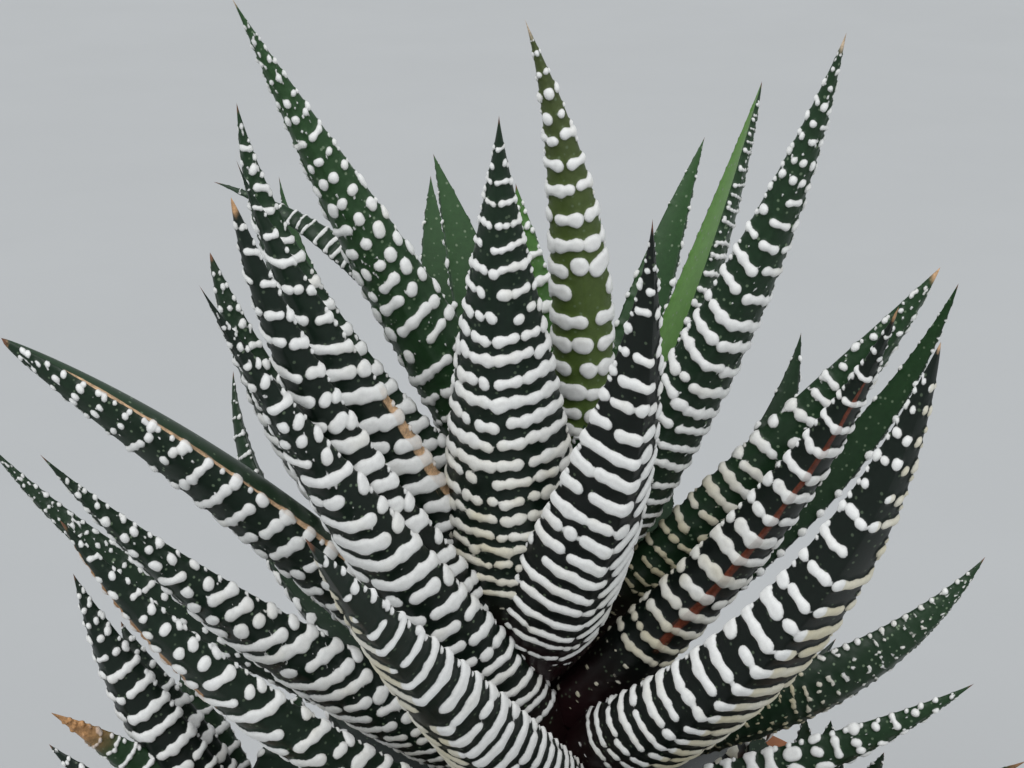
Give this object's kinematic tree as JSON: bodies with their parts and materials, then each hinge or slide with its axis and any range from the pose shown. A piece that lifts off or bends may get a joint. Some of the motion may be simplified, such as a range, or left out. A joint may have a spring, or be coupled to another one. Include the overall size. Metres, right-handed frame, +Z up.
{
  "type": "potted haworthia",
  "caption": "Potted zebra haworthia: a tall dense rosette of long keeled leaves with raised white bands, with young offsets, in gritty soil in a plain tapered terracotta pot.",
  "frame": {"origin": "middle of the flat underside of the pot, on the surface it stands on", "axes": "+Z up along the pot's axis, -Y towards the side the picture was taken from, +X to the right in the picture"},
  "size_m": [0.1425, 0.14, 0.2315],
  "materials": {
    "pot": "matt unglazed terracotta with a little lime bloom",
    "soil": "rough gritty potting mix",
    "stem": "rough brown bark with scars of old leaves",
    "leaf": "dark green satin skin with raised white bands and dots",
    "offset": "dark green satin skin with raised white bands and dots"
  },
  "bodies": {
    "root": {"pot": "pot", "soil": "soil", "stem": "stem", "leaf_heart_1": "leaf", "leaf_heart_2": "leaf", "leaf_heart_3": "leaf", "leaf_heart_4": "leaf", "leaf_heart_5": "leaf", "leaf_heart_6": "leaf", "leaf_heart_7": "leaf", "leaf_heart_8": "leaf", "leaf_heart_9": "leaf", "leaf_heart_10": "leaf", "leaf_heart_11": "leaf", "leaf_heart_12": "leaf", "leaf_heart_13": "leaf", "leaf_upper_1": "leaf", "leaf_upper_2": "leaf", "leaf_upper_3": "leaf", "leaf_upper_4": "leaf", "leaf_upper_5": "leaf", "leaf_upper_6": "leaf", "leaf_upper_7": "leaf", "leaf_upper_8": "leaf", "leaf_middle_1": "leaf", "leaf_middle_2": "leaf", "leaf_middle_3": "leaf", "leaf_middle_4": "leaf", "leaf_middle_5": "leaf", "leaf_middle_6": "leaf", "leaf_middle_7": "leaf", "leaf_middle_8": "leaf", "leaf_middle_9": "leaf", "leaf_middle_10": "leaf", "leaf_middle_11": "leaf", "leaf_lower_1": "leaf", "leaf_lower_2": "leaf", "leaf_lower_3": "leaf", "leaf_lower_4": "leaf", "leaf_lower_5": "leaf", "leaf_lower_6": "leaf", "leaf_lower_7": "leaf", "leaf_lower_8": "leaf", "leaf_lower_9": "leaf", "leaf_lower_10": "leaf", "leaf_lower_11": "leaf", "leaf_base_1": "leaf", "leaf_base_2": "leaf", "leaf_base_3": "leaf", "leaf_base_4": "leaf", "leaf_base_5": "leaf", "leaf_base_6": "leaf", "leaf_base_7": "leaf", "leaf_base_8": "leaf", "offset_left": "offset", "offset_right": "offset", "offset_front": "offset"}
  },
  "joints": []
}
